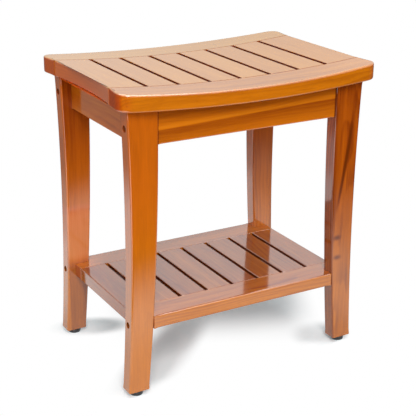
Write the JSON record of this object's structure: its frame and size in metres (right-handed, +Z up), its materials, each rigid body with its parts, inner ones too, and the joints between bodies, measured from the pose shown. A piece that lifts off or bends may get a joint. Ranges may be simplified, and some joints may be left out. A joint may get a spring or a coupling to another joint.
{
  "type": "shower bench",
  "caption": "Wooden shower bench with a dished slatted seat on splayed legs and aprons, a slatted lower shelf and screw-adjustable feet.",
  "frame": {"origin": "on the floor, under the middle of the bench, with the feet screwed right in", "axes": "+X along the seat, to the right as seen from the front; +Y to the back; +Z up"},
  "size_m": [0.4182, 0.2998, 0.4568],
  "materials": {
    "seat_rail_teak": "varnished",
    "seat_slat_teak": "varnished",
    "apron_teak": "varnished",
    "leg_teak": "varnished",
    "shelf_rail_teak": "varnished",
    "shelf_slat_teak": "varnished",
    "bolt_steel": "dark coated",
    "nut_steel": "zinc plated",
    "dowel_wood": "bare",
    "screw_steel": "satin",
    "insert_brass": "satin",
    "stem_steel": "satin",
    "foot_rubber": "matt"
  },
  "bodies": {
    "root": {"seat_front_rail": "seat_rail_teak", "seat_back_rail": "seat_rail_teak", "seat_slat_1": "seat_slat_teak", "seat_slat_2": "seat_slat_teak", "seat_slat_3": "seat_slat_teak", "seat_slat_4": "seat_slat_teak", "seat_slat_5": "seat_slat_teak", "seat_slat_6": "seat_slat_teak", "seat_slat_7": "seat_slat_teak", "seat_slat_8": "seat_slat_teak", "front_apron": "apron_teak", "back_apron": "apron_teak", "left_apron": "apron_teak", "right_apron": "apron_teak", "leg_front_left": "leg_teak", "leg_front_right": "leg_teak", "leg_back_left": "leg_teak", "leg_back_right": "leg_teak", "shelf_front_rail": "shelf_rail_teak", "shelf_back_rail": "shelf_rail_teak", "shelf_slat_1": "shelf_slat_teak", "shelf_slat_2": "shelf_slat_teak", "shelf_slat_3": "shelf_slat_teak", "shelf_slat_4": "shelf_slat_teak", "shelf_slat_5": "shelf_slat_teak", "shelf_slat_6": "shelf_slat_teak", "shelf_slat_7": "shelf_slat_teak", "shelf_slat_8": "shelf_slat_teak", "apron_bolts": "bolt_steel", "shelf_bolts": "bolt_steel", "apron_barrel_nuts": "nut_steel", "shelf_barrel_nuts": "nut_steel", "locating_dowels": "dowel_wood", "side_apron_dowels": "dowel_wood", "seat_screws": "screw_steel", "foot_inserts": "insert_brass"},
    "stem_front_left": {"foot_stem_front_left": "stem_steel"},
    "pad_front_left": {"foot_pad_front_left": "foot_rubber"},
    "stem_front_right": {"foot_stem_front_right": "stem_steel"},
    "pad_front_right": {"foot_pad_front_right": "foot_rubber"},
    "stem_back_left": {"foot_stem_back_left": "stem_steel"},
    "pad_back_left": {"foot_pad_back_left": "foot_rubber"},
    "stem_back_right": {"foot_stem_back_right": "stem_steel"},
    "pad_back_right": {"foot_pad_back_right": "foot_rubber"}
  },
  "joints": [
    {"name": "foot_front_left_height", "type": "slide", "parent": "root", "child": "stem_front_left", "axis": [0, 0, -1], "range_m": [0, 0.008]},
    {"name": "foot_front_left_turn", "type": "hinge", "parent": "stem_front_left", "child": "pad_front_left", "pos_m": [-0.1815, -0.11425, 0], "axis": [0, 0, -1], "range_deg": [0, 2880]},
    {"name": "foot_front_right_height", "type": "slide", "parent": "root", "child": "stem_front_right", "axis": [0, 0, -1], "range_m": [0, 0.008]},
    {"name": "foot_front_right_turn", "type": "hinge", "parent": "stem_front_right", "child": "pad_front_right", "pos_m": [0.1815, -0.11425, 0], "axis": [0, 0, -1], "range_deg": [0, 2880]},
    {"name": "foot_back_left_height", "type": "slide", "parent": "root", "child": "stem_back_left", "axis": [0, 0, -1], "range_m": [0, 0.008]},
    {"name": "foot_back_left_turn", "type": "hinge", "parent": "stem_back_left", "child": "pad_back_left", "pos_m": [-0.1815, 0.11425, 0], "axis": [0, 0, -1], "range_deg": [0, 2880]},
    {"name": "foot_back_right_height", "type": "slide", "parent": "root", "child": "stem_back_right", "axis": [0, 0, -1], "range_m": [0, 0.008]},
    {"name": "foot_back_right_turn", "type": "hinge", "parent": "stem_back_right", "child": "pad_back_right", "pos_m": [0.1815, 0.11425, 0], "axis": [0, 0, -1], "range_deg": [0, 2880]}
  ],
  "couplings": [
    {"joint": "foot_front_left_turn", "follows": "foot_front_left_height", "rad_per_m": 6283.2},
    {"joint": "foot_front_right_turn", "follows": "foot_front_right_height", "rad_per_m": 6283.2},
    {"joint": "foot_back_left_turn", "follows": "foot_back_left_height", "rad_per_m": 6283.2},
    {"joint": "foot_back_right_turn", "follows": "foot_back_right_height", "rad_per_m": 6283.2}
  ]
}
